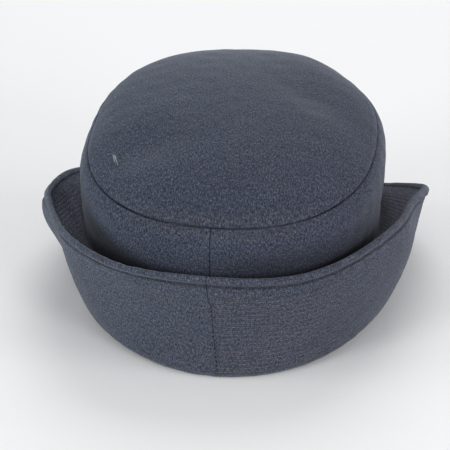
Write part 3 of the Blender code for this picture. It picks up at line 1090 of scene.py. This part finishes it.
def build_side(placed, turns, outer, normals, steps):
    """The side band with its back seam."""
    steps = steps[:, None]
    relief = seam_relief(turns - BACK_SEAM_TURN, CROWN_GIRTH) + ripples(turns, steps, CROWN_GIRTH, seed=6)
    relief = relief + tip_seam_relief(turns, steps[-1] - steps)
    face = outer + normals * relief[..., None]
    wall = outer - normals * CLOTH
    loop = np.concatenate([face, wall[::-1]])
    along = np.concatenate([steps, steps[::-1]])
    faces, maps = hoop(loop, turns, CROWN_GIRTH, along, steps.max() - along)
    cloth = heather("side_heather", SIDE_TONE_AND_SHADE, side_marks_and_shade)
    side = add_object("side_cloth", placed(loop.reshape(-1, 3)), faces, maps, cloth)
    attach(side, "root")
    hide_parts("crown_side")


def build_tip(placed, turns, outer, normals, steps):
    """The domed tip, its edge turned down into the tip seam."""
    from_edge = (steps - steps[0])[:, None]
    relief = RIPPLE * plan_waves(outer, RIPPLE_LENGTH, seed=7) + tip_seam_relief(turns, from_edge)
    face = outer + normals * relief[..., None]
    kept = np.unique(np.r_[0:len(outer):TIP_INSIDE_STEP, len(outer) - 1])
    wall = (outer - normals * CLOTH)[kept]
    middle = dome_ring(turns, 0).mean(axis=0)
    points = np.vstack([face.reshape(-1, 3), wall.reshape(-1, 3), middle, middle - np.array([0, 0, CLOTH])])
    faces, corners = dome(face, wall)
    over, under = [
        np.stack(np.broadcast_arrays(turns / 360, rings), -1).reshape(-1, 2)
        for rings in (from_edge, from_edge[kept])
    ]
    place = np.vstack([over, under, [[0.5, from_edge.max()]] * 2])
    maps = {"weave": points[corners, :2], "place": place[corners]}
    tip = add_object("tip_cloth", placed(points), faces, maps, heather("tip_heather", TIP_TONE_AND_SHADE, tip_marks))
    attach(tip, "root")
    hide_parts("crown_tip")


def build_lint(placed):
    """Stray pale fibres that lie on the tip, each a thin tapered strand bent into a bow."""
    points, faces = [], []
    for turn, size, bearing, length, bow in LINT_FIBRES:
        share = np.linspace(-0.5, 0.5, LINT_STEPS + 1)[:, None]
        near = np.array([dome_ring(np.array([turn, turn + 1]), at) for at in (size, size - 0.01)])
        sideways, inward = unit(near[0, 1] - near[0, 0]), unit(near[1, 0] - near[0, 0])
        normal = np.cross(inward, sideways)
        cos, sin = cos_sin(bearing)
        ahead, beside = sideways * cos + inward * sin, inward * cos - sideways * sin
        path = near[0, 0] + normal * LINT_LIFT + ahead * share * length + beside * bow * (1 - 4 * share**2)
        thick = LINT_THICKNESS / 2 * np.cos(np.pi * share * LINT_TAPER)
        start = len(points) * (LINT_STEPS + 1) * 4
        points.append(np.stack([
            path + beside * thick, path + normal * thick, path - beside * thick, path - normal * thick,
        ], 1).reshape(-1, 3))
        rings = start + np.arange(LINT_STEPS * 4).reshape(-1, 4)
        after = np.roll(rings, -1, axis=1)
        faces += np.stack([rings, after, after + 4, rings + 4], -1).reshape(-1, 4).tolist()
        faces.append([start + 3, start + 2, start + 1, start])
        faces.append([start + LINT_STEPS * 4 + corner for corner in range(4)])
    fibre = thread("lint_fibre", LINT, LINT, contrast=0.15)
    lint = add_object("lint", placed(np.vstack(points)), faces, {}, fibre)
    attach(lint, "root")


def build_hat():
    """All pieces of the hat, shaped with the brim's opening level and then set down at rest."""
    base = BASE_MARKS[:-1]
    places, half = brim_places()
    middle = brim_rings(base, places, BRIM_BENDS + BRIM_FINE_BENDS)
    lift = ease((places / BRIM_WIDTH - RISE_START) / (1 - RISE_START))[:, None]
    for turn, spread, height in RIM_RISES:
        middle[..., 2] += height * lift * bell(way_round(base, turn), spread)
    normals = outward(middle, places)
    rises, band_sizes, tip_sizes = crown_places()
    turns = columns_by_seam()
    outer, walls, steps = smooth_crown(turns, rises, np.concatenate([band_sizes, tip_sizes]))
    pitch, shift = rest_place()

    def placed(points):
        at_rest = pitched(points, pitch) + shift
        at_rest[:, 2] = np.maximum(at_rest[:, 2], 0)
        return at_rest

    def turned(directions):
        return pitched(directions, pitch)

    build_brim(placed, turns, places, half, middle, normals)
    build_rows(placed, turned, places, half, middle, normals)
    seam = len(rises) + len(band_sizes)
    build_side(placed, turns, outer[:seam], walls[:seam], steps[:seam])
    build_tip(placed, turns, outer[seam:], walls[seam:], steps[seam:])
    build_lint(placed)


def build_stage():
    """A plain pale floor, and soft light from all round and above."""
    paint, _, shader = new_material("floor_paint")
    set_values(shader, {"Base Color": (*FLOOR, 1), "Roughness": 0.85})
    corners = np.array([(-1, -1, 0), (1, -1, 0), (1, 1, 0), (-1, 1, 0)]) * FLOOR_REACH
    floor = add_object("floor", corners, [(0, 1, 2, 3)], {}, paint)
    floor.location.z = -FLOOR_DROP

    world = bpy.data.worlds.new("studio")
    world.use_nodes = True
    set_values(world.node_tree.nodes["Background"], {"Color": (*SKY, 1), "Strength": SKY_STRENGTH})
    bpy.context.scene.world = world
    for name, place, size, power in LIGHTS:
        add_light(name, place, size, power)


def add_light(name, place, size, power):
    """A round light aimed at the hat."""
    light = bpy.data.lights.new(name, "AREA")
    light.shape = "DISK"
    light.size = size
    light.energy = power
    lamp = place_object(name, light)
    lamp.location = place
    lamp.rotation_mode = "QUATERNION"
    lamp.rotation_quaternion = (LIGHT_AIM - lamp.location).to_track_quat("-Z", "Y")


def build_camera():
    """The camera at the photo's angle to the hat."""
    azimuth, elevation, roll = np.radians([CAMERA_AZIMUTH, CAMERA_ELEVATION, CAMERA_ROLL])
    flat = np.cos(elevation)
    back = Vector((np.sin(azimuth) * flat, -np.cos(azimuth) * flat, np.sin(elevation)))
    level = Vector((np.cos(azimuth), np.sin(azimuth), 0))
    upright = back.cross(level)
    right = level * np.cos(roll) + upright * np.sin(roll)
    up = back.cross(right)
    lens = bpy.data.cameras.new("camera")
    lens.lens = LENS
    lens.sensor_width = SENSOR_WIDTH
    lens.shift_x = SHIFT_X
    lens.shift_y = SHIFT_Y
    camera = place_object("camera", lens)
    camera.rotation_mode = "QUATERNION"
    camera.rotation_quaternion = Matrix((right, up, back)).transposed().to_quaternion()
    camera.location = CAMERA_AIM + back * CAMERA_DISTANCE
    bpy.context.scene.camera = camera


build_camera()
build_hat()
build_stage()
bpy.context.scene.view_settings.view_transform = "Standard"
